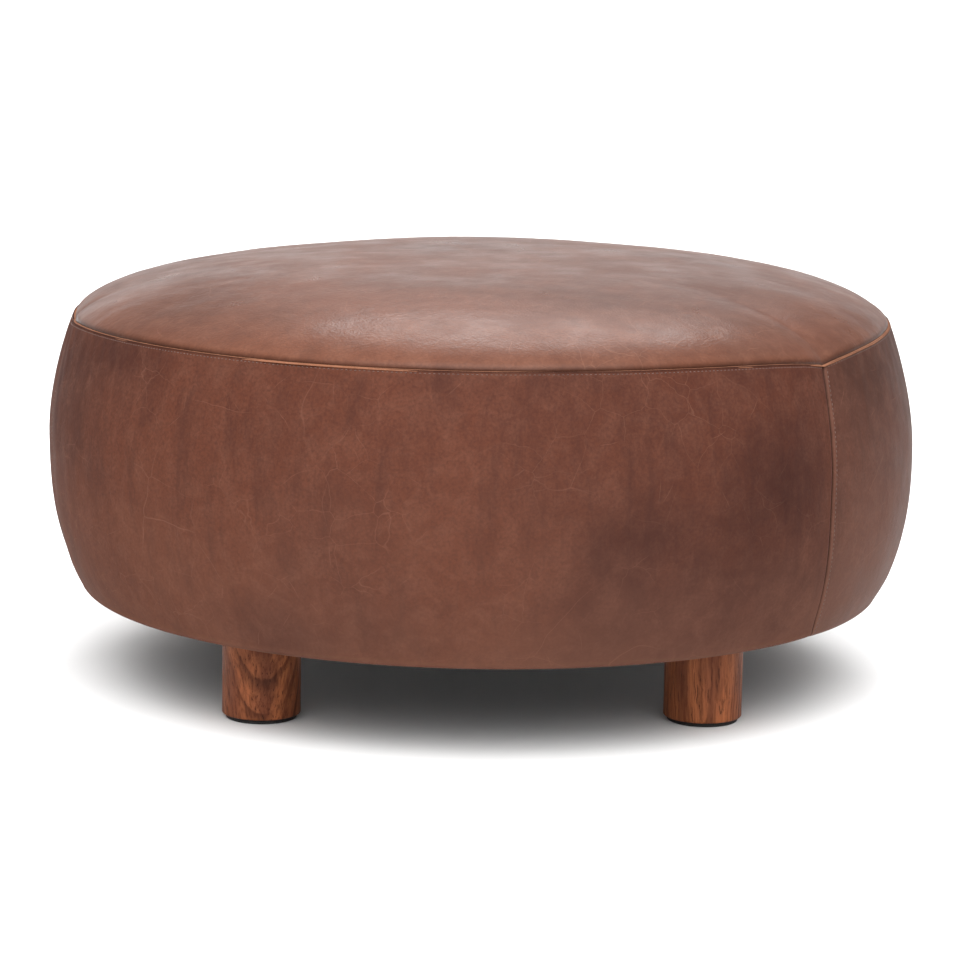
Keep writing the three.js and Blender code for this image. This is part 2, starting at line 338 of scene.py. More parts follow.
def disc_grid(cells):
    """A square grid laid over a disc, so that its rings of cells are circles: share of radius, and angle."""
    line = np.linspace(-1, 1, cells + 1)
    u, v = np.meshgrid(line, line, indexing="xy")
    wide = np.abs(u) > np.abs(v)
    safe_u, safe_v = np.where(u == 0, 1, u), np.where(v == 0, 1, v)
    angle = np.where(wide, math.pi / 4 * v / safe_u, math.pi / 2 - math.pi / 4 * u / safe_v)
    signed = np.where(wide, u, v)
    angle = np.where(signed < 0, angle + math.pi, angle)
    share = np.abs(signed)
    return 1 - (1 - share) ** 1.22, np.where(share == 0, 0, angle)


def crown_relief(points, angle, share):
    """How far the leather of the crown stands up from its plain shape."""
    inside = 1 - share**6
    x = points[..., 0]
    relief = hills(points, CROWN_HILLS, inside) + (CROWN_FULLNESS + CROWN_TILT * x + CROWN_SCOOP * x**2) * inside
    radial = waves(around_z(SEAM_RADIUS, angle, 0), 0.03, 34)
    edge = fade(1 - share, 0.05) * (1 - fade(1 - share, 0.008))
    near = fade(seam_distance(angle), 60 * MM)
    relief += 0.45 * MM * radial * edge * (0.15 + near)
    lines = creases(points, 0.17, 0.07, 35, (2.2, 0.7, 1)) * inside
    relief -= 0.28 * MM * lines * smooth_step(0.5, 1.6, waves(points, 0.3, 36) + 0.5)
    roll = np.clip((share - 0.988) / 0.012, 0, 1)
    relief -= 1.6 * MM * roll**2.5
    across, along = (points[..., i] / (2 * BULGE_RADIUS) + 0.5 for i in (0, 1))
    return relief + blown("crown", along * BLANK_CELLS, across * BLANK_CELLS)


def crown_height(share):
    """Height of the plain crown, as a share of its rise."""
    return (1 - share**CROWN_POWER) ** CROWN_ROUND


def crown_surface(share, angle, depth):
    """Points of the crown at a share of the seam's radius and an angle, at a depth under its face."""
    rim_r, rim_z = seam_line(angle)
    plain = SEAM_Z + CROWN_RISE * crown_height(np.clip(share, 0, 1))
    r = share * rim_r
    z = plain - (SEAM_Z - rim_z) * share**9
    points = around_z(r, angle, z)
    step = 1e-3
    change = crown_height(np.clip(share + step, 0, 0.995)) - crown_height(np.clip(share - step, 0, 0.993))
    slope = CROWN_RISE * change / (2 * step * SEAM_RADIUS)
    length = np.sqrt(1 + slope**2)
    out = crown_relief(points, angle, share) - depth
    r = r - out * slope / length
    z = z + out / length
    return around_z(r, angle, z)


# ---- The cover blown out against its seams, by cloth simulation ----

BLANK_ROWS, BLANK_COLUMNS, BLANK_CELLS = 24, 180, 56
BLANK_DEPTH = 3 * MM
SIDE_PRESSURE, SIDE_STIFFNESS = 24.0, 5.0
CROWN_PRESSURE, CROWN_STIFFNESS = 3.0, 40.0
CROWN_SHARE = 0.3
BLANK_CAP = 12 * MM
SIMULATED_FRAMES = 20
SEAM_GRIP = 14 * MM

blown_tables = {}


def blown(name, row, column):
    """How far the simulation moved the cover outwards, read smoothly from its table of points."""
    if name not in blown_tables:
        return 0.0
    table = blown_tables[name]
    rows, columns = table.shape
    total = 0.0
    low_row, low_column = np.floor(row).astype(int), np.floor(column).astype(int)

    def spline(t):
        return (1 - t) ** 3 / 6, (3 * t**3 - 6 * t**2 + 4) / 6, (-3 * t**3 + 3 * t**2 + 3 * t + 1) / 6, t**3 / 6

    for i, row_share in enumerate(spline(row - low_row)):
        for j, column_share in enumerate(spline(column - low_column)):
            at_row = np.clip(low_row + i - 1, 0, rows - 1)
            at_column = low_column + j - 1
            at_column = at_column % columns if name == "side" else np.clip(at_column, 0, columns - 1)
            total = total + row_share * column_share * table[at_row, at_column]
    return total


def blow_out(name, points, faces, held, pressure, stiffness):
    """Run the cloth simulation on one leather blank, and return how far each point moves outwards."""
    piece = new_object(name, points.reshape(-1, 3), faces)
    group = piece.vertex_groups.new(name="held")
    for i, weight in enumerate(held.ravel()):
        group.add([i], float(weight), "REPLACE")
    cloth = piece.modifiers.new("cloth", "CLOTH")
    cloth.settings.quality = 6
    cloth.settings.mass = 0.4
    cloth.settings.tension_stiffness = cloth.settings.compression_stiffness = stiffness
    cloth.settings.shear_stiffness = stiffness / 2
    cloth.settings.bending_stiffness = 1.2
    cloth.settings.use_pressure = True
    cloth.settings.uniform_pressure_force = pressure
    cloth.settings.vertex_group_mass = "held"
    cloth.settings.effector_weights.gravity = 0
    cloth.collision_settings.use_collision = False
    cloth.point_cache.frame_start, cloth.point_cache.frame_end = 1, SIMULATED_FRAMES
    for frame_number in range(1, SIMULATED_FRAMES + 1):
        bpy.context.scene.frame_set(frame_number)
    blown_mesh = piece.evaluated_get(bpy.context.evaluated_depsgraph_get()).to_mesh()
    after = np.zeros(len(piece.data.vertices) * 3, np.float32)
    blown_mesh.vertices.foreach_get("co", after)
    normals = np.zeros_like(after)
    piece.data.vertices.foreach_get("normal", normals)
    moved = ((after.reshape(-1, 3) - points.reshape(-1, 3)) * normals.reshape(-1, 3)).sum(axis=1)
    mesh = piece.data
    bpy.data.objects.remove(piece)
    bpy.data.meshes.remove(mesh)
    bpy.context.scene.frame_set(1)
    return np.clip(moved, -BLANK_CAP, BLANK_CAP).reshape(held.shape)


def simulate_cover():
    """Blow out a coarse side and crown, held at their seams, and keep how unevenly they swell."""
    share = np.linspace(0, 1, BLANK_ROWS + 1)
    z = TAPER_Z + share * (SEAM_Z - TAPER_Z)
    profile = np.stack([side_radius(z), z], axis=1)
    angle = np.arange(BLANK_COLUMNS) * math.tau / BLANK_COLUMNS
    side = side_surface(angle, BLANK_DEPTH, profile, normals_of(profile))
    grip = bell(seam_distance(angle), SEAM_GRIP)[None] + 0 * share[:, None]
    grip[[0, -1]] = 1.0
    quads = grid_quads(np.arange(side[..., 0].size).reshape(side.shape[:2]), True)
    side_moved = blow_out("side_blank", side, quads, grip, SIDE_PRESSURE, SIDE_STIFFNESS)

    share, angle = disc_grid(BLANK_CELLS)
    crown = crown_surface(share, angle, BLANK_DEPTH)
    grip = np.where(share > 0.999, 1.0, 0.0)
    quads = grid_quads(np.arange(share.size).reshape(share.shape), False)
    crown_moved = blow_out("crown_blank", crown, quads, grip, CROWN_PRESSURE, CROWN_STIFFNESS)

    side_even = side_moved.mean(axis=1, keepdims=True)
    blown_tables["side"] = side_moved - side_even
    ring = np.round(np.abs(share) * 1e6).astype(int)
    uneven = crown_moved.ravel().copy()
    for share_of_ring in np.unique(ring):
        uneven[ring.ravel() == share_of_ring] -= crown_moved[ring == share_of_ring].mean()
    uneven *= CROWN_SHARE
    line = (np.linspace(0, 1, BLANK_CELLS + 1) - 0.5) * 2 * BULGE_RADIUS
    x, y = np.meshgrid(line, line)
    spots = crown.reshape(-1, 3)
    gap = (x[..., None] - spots[:, 0]) ** 2 + (y[..., None] - spots[:, 1]) ** 2
    near = np.exp(-gap / (12 * MM) ** 2)
    blown_tables["crown"] = (near @ uneven) / (near.sum(axis=-1) + 1e-3)


simulate_cover()

# ---- Cover: top and side leather ----


def seam_columns(start, end, spacing):
    """Angles from one vertical seam to the next, closer together by each seam."""
    close = np.array([0.03, 0.8, 1.5, 2.3, 3.2, 4.2, 5.5, 7, 9, 11.5, 14.5]) * MM / BULGE_RADIUS
    first, last = start + close, (end - close)[::-1]
    between = np.linspace(first[-1], last[0], int((last[0] - first[-1]) * BULGE_RADIUS / spacing) + 2)
    return np.concatenate([first, between[1:-1], last])


TOP_CELLS = 216
PANEL_COLUMN = 4.0 * MM
# Where the dye of the side is darker: angle, share of the height, reach round and up, and how much.
DARK_PATCHES = [
    (-50, 0.55, 0.20, 0.35, 0.9),
    (-74, 0.5, 0.24, 0.42, 0.62),
    (-118, 0.78, 0.14, 0.14, 0.2),
    (20, 0.5, 0.3, 0.3, 0.5),
    (110, 0.4, 0.25, 0.3, 0.6),
    (150, 0.6, 0.15, 0.3, 0.4),
]


def make_side_panel(side, start, end):
    angle = seam_columns(start, end, PANEL_COLUMN)
    piece = shell(f"side_panel_{side}", side_surface(angle, 0.0), side_surface(angle, LEATHER), wrap=False)
    along_seam = (angle - start) * BULGE_RADIUS
    from_end = (end - angle) * BULGE_RADIUS
    rows = np.ones(len(SIDE_PROFILE))[:, None]
    below_top = (SEAM_Z - SIDE_PROFILE[:, 1])[:, None]
    d = np.minimum(along_seam, from_end)[None]
    # Painted shade: darker along each vertical seam's groove and just under the top seam.
    painted_seam_shade = 0.8 * bell(d, 0.9 * MM) * rows
    painted_seam_shade = np.maximum(painted_seam_shade, 0.7 * bell(below_top, 1.3 * MM))
    # Pale strips beside the vertical seams and under the top seam: partly rubbed wear, partly painted highlight where
    # the seam ridges catch light. The pale band on the rim at the foot is wear.
    wear_and_ridge_highlight = 0.55 * bell(along_seam - 3.2 * MM, 1.5 * MM)[None] * rows
    wear_and_ridge_highlight = wear_and_ridge_highlight + 0.15 * bell(from_end - 3.0 * MM, 1.4 * MM)[None] * rows
    wear_and_ridge_highlight = wear_and_ridge_highlight + 0.18 * bell(below_top - 3.0 * MM, 1.2 * MM)
    rim_wear = bell(SIDE_PROFILE[:, 1] - UNDERSIDE_Z - 4 * MM, 3 * MM)[:, None]
    wear_and_ridge_highlight = wear_and_ridge_highlight + 0.25 * rim_wear * (SIDE_PROFILE[:, :1] > RIM_RADIUS)
    height = np.clip((SIDE_PROFILE[:, 1:] - UNDERSIDE_Z) / (SEAM_Z - UNDERSIDE_Z), 0, 1)
    dark = 0
    for spot, tall, wide, high, much in DARK_PATCHES:
        dark = dark + much * bell(turn_between(angle, math.radians(spot))[None], wide) * bell(height - tall, high)
    set_outer_attribute(piece, "dark", dark)
    # Painted light: the side is paler towards its bottom, standing in for light bounced up from the floor.
    set_outer_attribute(piece, "light", (1 - height) ** 1.6 + 0 * angle[None])
    set_outer_attribute(piece, "painted_seam_shade", painted_seam_shade)
    set_outer_attribute(piece, "wear_and_ridge_highlight", wear_and_ridge_highlight)
    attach(piece, "body")
    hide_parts(f"side_leather_{side}")
    return piece


def disc_shell(name, upper, lower):
    """A closed skin over a square grid of points laid on a disc."""
    rows, cols = upper.shape[:2]
    top = np.arange(rows * cols).reshape(rows, cols)
    low = top + rows * cols
    ring = np.concatenate([top[0, :-1], top[:-1, -1], top[-1, :0:-1], top[:0:-1, 0]])
    edge = np.stack([ring + rows * cols, ring])
    faces = [grid_quads(top, False), grid_quads(low, False)[:, ::-1], grid_quads(edge, True)]
    points = np.concatenate([upper.reshape(-1, 3), lower.reshape(-1, 3)])
    return new_object(name, points, np.concatenate(faces))


def make_top_panel():
    share, angle = disc_grid(TOP_CELLS)
    piece = disc_shell("top_cover", crown_surface(share, angle, 0.0), crown_surface(share, angle, LEATHER))
    from_edge = (1 - share) * SEAM_RADIUS
    # Painted shade where the crown rolls down into the top seam.
    set_outer_attribute(piece, "painted_seam_shade", 0.75 * bell(from_edge, 1.6 * MM))
    # A pale band just inside the crown's edge: partly rubbed wear, partly painted highlight on the shoulder ridge.
    set_outer_attribute(piece, "wear_and_ridge_highlight", 0.12 * bell(from_edge - 6 * MM, 3 * MM))
    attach(piece, "body")
    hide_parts("top_leather")
    return piece


def swept_ring(name, radius, height, section, angle):
    """A closed ring whose section, as (out, up) points, follows a radius and height all round."""
    corners = len(section)
    out = np.array([p[0] for p in section])
    up = np.array([p[1] for p in section])
    r = radius[None] + out[:, None]
    z = height[None] + up[:, None]
    turn = angle[None] + 0 * r
    points = around_z(r, turn, z)
    index = np.arange(corners * len(angle)).reshape(corners, len(angle))
    index = np.concatenate([index, index[:1]])
    return new_object(name, points.reshape(-1, 3), grid_quads(index, True))


def oval(out, up, count, turned):
    """Points of an oval section, out from the seam and up."""
    steps = full_turn(count)
    c, s = math.cos(turned), math.sin(turned)
    return [(c * out * math.cos(a) - s * up * math.sin(a), s * out * math.cos(a) + c * up * math.sin(a)) for a in steps]


def make_welt():
    angle = full_turn(1600)
    radius, height = seam_line(angle)
    wobble = 0.15 * MM * waves(around_z(SEAM_RADIUS, angle, 0), 0.06, 41)
    section = oval(1.9 * MM, 0.75 * MM, 12, -0.3)
    piece = swept_ring("top_welt", radius - 0.3 * MM + wobble, height - 0.4 * MM, section, angle)
    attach(piece, "body")
    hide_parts("seam_welt")
    return piece


# ---- Threads and staples: many short rounded strands in one mesh ----


def strands(name, centre, along, up, length, radius, sink):
    """Short rounded strands at each centre, arched so that both ends dip in by sink."""
    rings, sides = 7, 6
    t = np.linspace(-1, 1, rings)
    thick = radius * np.sqrt(np.clip(1 - np.abs(t) ** 3, 0.03, 1))
    arch = -sink * t**2
    across = np.cross(along, up)
    turn = full_turn(sides)
    middle = (
        centre[:, None]
        + along[:, None] * (t * length / 2)[None, :, None]
        + up[:, None] * arch[None, :, None]
    )
    cos, sin = (f(turn)[None, None, :, None] for f in (np.cos, np.sin))
    ring = across[:, None, None] * cos + up[:, None, None] * sin
    points = middle[:, :, None] + ring * thick[None, :, None, None]
    one = np.arange(rings * sides).reshape(rings, sides)
    faces = [list(f) for f in grid_quads(one, True)]
    faces += [list(one[0]), list(one[-1][::-1])]
    count = len(centre)
    all_faces = [[i + n * rings * sides for i in f] for n in range(count) for f in faces]
    return new_object(name, points.reshape(-1, 3), all_faces)


def unit(v):
    return v / np.linalg.norm(v, axis=-1, keepdims=True)


TOP_STITCH_PITCH, TOP_STITCH_DROP = 4.4 * MM, 3.4 * MM
SIDE_STITCH_PITCH, SIDE_STITCH_OFFSET = 4.6 * MM, 5.0 * MM
STITCH_SINK = 0.5 * MM


def make_top_stitches():
    angle = full_turn(int(math.tau * SEAM_RADIUS / TOP_STITCH_PITCH))
    angle = angle[seam_distance(angle) > 4 * MM]
    row = np.argmin(np.abs(SIDE_PROFILE[:, 1] - (SEAM_Z - TOP_STITCH_DROP)))
    rows = slice(row - 1, row + 2)

    def at(a, depth):
        return side_surface(a, depth, SIDE_PROFILE[rows], SIDE_NORMALS[rows])[1]

    centre = at(angle, -0.15 * MM)
    along = unit(at(angle + 0.002, 0) - at(angle - 0.002, 0))
    up = unit(at(angle, -1 * MM) - at(angle, 0))
    piece = strands("top_seam_stitches", centre, along, up, 2.8 * MM, 0.32 * MM, STITCH_SINK)
    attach(piece, "body")
    return piece


def make_side_stitches(name, seam):
    angle = np.array([seam + SIDE_STITCH_OFFSET / BULGE_RADIUS])
    path = side_surface(angle, 0.0)[:, 0]
    lift = side_surface(angle, -1 * MM)[:, 0]
    length = np.concatenate([[0], np.cumsum(np.linalg.norm(np.diff(path, axis=0), axis=1))])
    first = length[np.argmax(SIDE_PROFILE[:, 1] > UNDERSIDE_Z + 4 * MM)]
    stops = np.arange(first, length[-1] - 6 * MM, SIDE_STITCH_PITCH)

    def along_path(points, s):
        return np.stack([np.interp(s, length, points[:, i]) for i in range(3)], axis=-1)

    centre = along_path(path, stops)
    up = unit(along_path(lift, stops) - centre)
    along = unit(along_path(path, stops + 0.5 * MM) - along_path(path, stops - 0.5 * MM))
    piece = strands(name, centre + 0.15 * MM * up, along, up, 3.0 * MM, 0.34 * MM, STITCH_SINK)
    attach(piece, "body")
    return piece


# ---- Soft layers under the leather ----


def pad(piece, node):
    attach(piece, "body")
    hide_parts(node)
    return piece


def make_soft_ring(name, node, depth, thick, inner_radius, top_gap):
    """A layer under the side leather: wadding of even thickness, or foam out from the side board."""
    angle = np.concatenate([seam_columns(start, end, 12 * MM) for start, end in PANEL_SPANS.values()])
    rows = (SIDE_PROFILE[:, 1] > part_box(node)[0].z + 2 * MM) & (SIDE_PROFILE[:, 1] < SEAM_Z - top_gap)
    rows &= np.arange(len(SIDE_PROFILE)) % 3 == 0
    outer = side_surface(angle, depth, SIDE_PROFILE[rows], SIDE_NORMALS[rows])
    if inner_radius is None:
        inner = side_surface(angle, depth + thick, SIDE_PROFILE[rows], SIDE_NORMALS[rows])
    else:
        inner = around_z(inner_radius, angle[None] + 0 * outer[..., 2], outer[..., 2])
    piece = shell(name, outer, inner, wrap=True)
    return pad(piece, node)


def make_soft_disc(name, node, depth, thick, limit):
    """A layer under the crown: wadding of even thickness, or the seat foam down to its board."""
    share, angle = disc_grid(96)
    share = share * limit
    upper = crown_surface(share, angle, depth)
    lower = crown_surface(share, angle, depth + thick) if thick else upper.copy()
    if not thick:
        lower[..., 2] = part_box(node)[0].z
    piece = disc_shell(name, upper, lower)
    return pad(piece, node)


# ---- Legs, glides and dust cover ----


def turned_piece(name, profile, sides, x, y):
    """A solid turned about a vertical axis at x, y from (radius, height) points going up its outside."""
    turn = full_turn(sides)
    profile = np.array(profile)
    r = profile[:, :1] + 0 * turn[None]
    z = profile[:, 1:] + 0 * turn[None]
    angle = turn[None] + 0 * r
    points = around_z(r, angle, z) + np.array([x, y, 0])
    index = np.arange(points[..., 0].size).reshape(points.shape[:2])
    return new_object(name, points.reshape(-1, 3), grid_quads(index, True))


def centre_of(node):
    low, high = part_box(node)
    return (low.x + high.x) / 2, (low.y + high.y) / 2


def arc(centre_r, centre_z, radius, start, end, count):
    steps = np.radians(np.linspace(start, end, count))
    return [(centre_r + radius * math.cos(a), centre_z + radius * math.sin(a)) for a in steps]


def leg_profile(low, high, bore, bore_end):
    """Bottom centre out, up the straight side, over the top and down the bolt hole."""
    edge = 1.6 * MM
    axis = NEAR_AXIS
    bottom = [(r, low) for r in np.linspace(axis, LEG_RADIUS - edge, 12)]
    lower = arc(LEG_RADIUS - edge, low + edge, edge, -75, 0, 6)
    wall = [(LEG_RADIUS, z) for z in np.linspace(low + edge, high - edge, 26)[1:-1]]
    upper = arc(LEG_RADIUS - edge, high - edge, edge, 0, 90, 6)
    top = [(r, high) for r in np.linspace(LEG_RADIUS - edge, bore, 8)[1:]]
    hole = [(bore, z) for z in np.linspace(high, bore_end, 6)[1:]]
    return bottom + lower + wall + upper + top + hole + [(axis, bore_end)]


# Each leg's place, and how it was cut from the log: turned and tilted by angles, then shifted.
LEGS = {
    1: ("back_right", (0.4, 0.10, (0.020, 0.030, 0))),
    2: ("back_left", (2.0, 0.05, (0.050, 0.010, 0))),
    3: ("front_left", (0.0, -0.24, (0.004, -0.062, 0))),
    4: ("front_right", (2.6, 0.03, (0.075, 0.030, 0))),
}


def make_leg(number, where, log_turn, log_tilt, log_shift):
    node = f"leg_{number}"
    low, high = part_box(node)
    x, y = centre_of(node)
    profile = leg_profile(low.z, high.z, BOLT_RADIUS, high.z - BOLT_DEPTH)
    piece = turned_piece(f"turned_leg_{where}", profile, 128, x, y)
    across, deep, up = (np.array([v.co for v in piece.data.vertices]) - np.array([x, y, 0])).T
    c, s = math.cos(log_turn), math.sin(log_turn)
    log = np.stack([across * c - deep * s, across * s + deep * c, up], axis=1)
    log[:, 1] += math.tan(log_tilt) * log[:, 2]
    set_attribute(piece, "log", log + np.array(log_shift))
    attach(piece, f"leg_{where}")
    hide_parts(node)
    return piece


def make_glide(number, where):
    node = f"glide_{number}"
    low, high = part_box(node)
    x, y = centre_of(node)
    r, edge = GLIDE_RADIUS, 1.0 * MM
    profile = [(NEAR_AXIS, low.z + 0.5 * MM), (r * 0.72, low.z + 0.5 * MM), (r * 0.76, low.z)]
    profile += arc(r - edge, low.z + edge, edge, -90, 0, 6)
    profile += arc(r - 0.5 * MM, high.z - 0.5 * MM, 0.5 * MM, 0, 90, 4)
    profile += [(NEAR_AXIS, high.z)]
    piece = turned_piece(f"floor_glide_{where}", profile, 96, x, y)
    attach(piece, f"leg_{where}")
    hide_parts(node)
    return piece


STAPLE_COUNT = 88
STAPLE_RADIUS = 364.5 * MM


def make_dust_cover():
    low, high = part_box("dust_cover")
    cloth = 0.7 * MM
    radius = (high.x - low.x) / 2
    share, angle = disc_grid(128)
    r = share * radius
    on_board, on_leather = high.z - cloth, low.z
    step = smooth_step(RETURN_RADIUS - 7 * MM, RETURN_RADIUS - 1 * MM, r)
    lower = around_z(r, angle, on_board + (on_leather - on_board) * step)
    away = np.ones_like(r)
    for number in LEGS:
        x, y = centre_of(f"leg_{number}")
        d = np.hypot(lower[..., 0] - x, lower[..., 1] - y)
        away *= smooth_step(LEG_RADIUS + 4 * MM, LEG_RADIUS + 60 * MM, d)
    sag = (0.9 * MM + 0.35 * MM * waves(lower, 0.09, 51)) * (1 - share**8) * away
    pull = np.cos(STAPLE_COUNT * angle) * 0.25 * MM * bell(r - STAPLE_RADIUS, 12 * MM)
    lower[..., 2] -= np.clip(sag, 0, None) + np.clip(pull, -0.1 * MM, None) * (1 - step)
    upper = lower.copy()
    upper[..., 2] += cloth
    piece = disc_shell("underside_cloth", lower, upper)
    piece.data.flip_normals()
    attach(piece, "body")
    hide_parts("dust_cover")
    return piece


def make_staples():
    angle = full_turn(STAPLE_COUNT)
    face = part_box("dust_cover")[0].z
    centre = around_z(STAPLE_RADIUS, angle, face - 0.1 * MM)
    skew = np.random.default_rng(5).normal(0, 0.12, STAPLE_COUNT)
    along = around_z(1.0, angle + math.pi / 2 + skew, 0.0)
    up = np.tile([0.0, 0.0, -1.0], (STAPLE_COUNT, 1))
    piece = strands("cover_staples", centre, along, up, 10 * MM, 0.5 * MM, 0.6 * MM)
    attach(piece, "body")
    return piece


# ---- Materials ----


MIDDLE = (0.5, 0.5, 0.5)


class Nodes:
    """A node tree, with short calls for the nodes used here."""

    def __init__(self, owner):
        owner.use_nodes = True
        self.tree = owner.node_tree

    def add(self, kind, inputs=(), **settings):
        node = self.tree.nodes.new(f"ShaderNode{kind}")
        for key, value in settings.items():
            setattr(node, key, value)
        for key, value in dict(inputs).items():
            self.put(node.inputs[key], value)
        return node

    def put(self, socket, value):
        if isinstance(value, bpy.types.NodeSocket):
            self.tree.links.new(value, socket)
        else:
            socket.default_value = value

    def span(self, value, low, high, to_low=0.0, to_high=1.0):
        values = {"Value": value, "From Min": low, "From Max": high, "To Min": to_low, "To Max": to_high}
        return self.add("MapRange", values, interpolation_type="SMOOTHSTEP").outputs["Result"]

    def math(self, operation, a, b=0.0):
        node = self.add("Math", operation=operation)
        self.put(node.inputs[0], a)
        self.put(node.inputs[1], b)
        return node.outputs[0]

    def times(self, a, b):
        return self.math("MULTIPLY", a, b)

    def vector(self, operation, *values):
        node = self.add("VectorMath", enumerate(values), operation=operation)
        return node.outputs["Value" if operation in ("DOT_PRODUCT", "LENGTH") else "Vector"]

    def axis(self, place, number):
        return self.add("SeparateXYZ", {0: place}).outputs[number]


class Surface(Nodes):
    """A material on the Principled shader."""

    def __init__(self, name, **shader):
        self.material = bpy.data.materials.new(name)
        super().__init__(self.material)
        self.shader = self.tree.nodes["Principled BSDF"]
        self.set(**shader)
        self.place = self.add("TexCoord").outputs["Object"]

    def set(self, **values):
        for key, value in values.items():
            self.put(self.shader.inputs[key.replace("_", " ")], value)

    def attribute(self, name, output="Fac"):
        return self.add("Attribute", attribute_name=name).outputs[output]

    def scaled(self, scale, place=None, shift=(0, 0, 0)):
        source = self.place if place is None else place
        return self.add("Mapping", {"Vector": source, "Scale": scale, "Location": shift}).outputs[0]

    def noise(self, scale, detail=4.0, rough=0.55, place=None, warp=0.0):
        values = {"Vector": self.place if place is None else place, "Scale": scale}
        values.update({"Detail": detail, "Roughness": rough, "Distortion": warp})
        return self.add("TexNoise", values).outputs["Fac"]

    def cells(self, scale, feature="F1", place=None, output="Distance"):
        values = {"Vector": self.place if place is None else place, "Scale": scale}
        return self.add("TexVoronoi", values, feature=feature).outputs[output]

    def blend(self, share, a, b, mode="MIX"):
        node = self.add("Mix", data_type="RGBA", blend_type=mode, clamp_factor=True)
        self.put(node.inputs["Factor"], share)
        self.put(node.inputs[6], a)
        self.put(node.inputs[7], b)
        return node.outputs[2]

    def bump(self, height, strength, distance, normal=None):
        values = {"Height": height, "Strength": strength, "Distance": distance}
        node = self.add("Bump", values)
        if normal is not None:
            self.put(node.inputs["Normal"], normal)
        return node.outputs["Normal"]

    def warped(self, place, scale, amount):
        """The place, moved about by noise."""
        cloud = self.add("TexNoise", {"Vector": place, "Scale": scale, "Detail": 3.0}).outputs["Color"]
        middle = self.vector("SUBTRACT", cloud, MIDDLE)
        moved = self.add("VectorMath", {0: middle, "Scale": amount}, operation="SCALE").outputs[0]
        return self.vector("ADD", place, moved)


def srgb(red, green, blue):
    """Linear colour, with alpha, from 0 to 255 display values."""

    def linear(c):
        c /= 255
        return c / 12.92 if c <= 0.04045 else ((c + 0.055) / 1.055) ** 2.4

    return (linear(red), linear(green), linear(blue), 1.0)


def scratches(s, cells, reach, width, share):
    """Short pale lines: one in some of the cells, each lying along the surface in a random direction."""
    place = s.warped(s.place, 22.0, 0.012)
    cell = s.add("TexVoronoi", {"Vector": place, "Scale": cells})
    offset = s.vector("SUBTRACT", place, cell.outputs["Position"])
    facing = s.add("TexCoord").outputs["Normal"]
    across = s.vector("CROSS_PRODUCT", s.vector("SUBTRACT", cell.outputs["Color"], MIDDLE), facing)
    away = s.vector("DOT_PRODUCT", offset, s.vector("NORMALIZE", across))
    line = s.span(s.math("ABSOLUTE", away), width * 0.3, width, 1.0, 0.0)
    line = s.times(line, s.span(s.vector("LENGTH", offset), reach * 0.3, reach, 1.0, 0.0))
    chance = s.add("SeparateColor", {0: cell.outputs["Color"]}).outputs[1]
    return s.times(line, s.math("LESS_THAN", chance, share))


def vein_net(s, scale, width, patches):
    """A patchy net of thin wandering lines."""
    net = s.cells(scale, "DISTANCE_TO_EDGE", s.warped(s.place, scale * 0.8, 0.7 / scale))
    lines = s.span(net, 0.0, width * scale, 1.0, 0.0)
    return s.times(lines, s.span(s.noise(patches, 2.0), 0.50, 0.66))


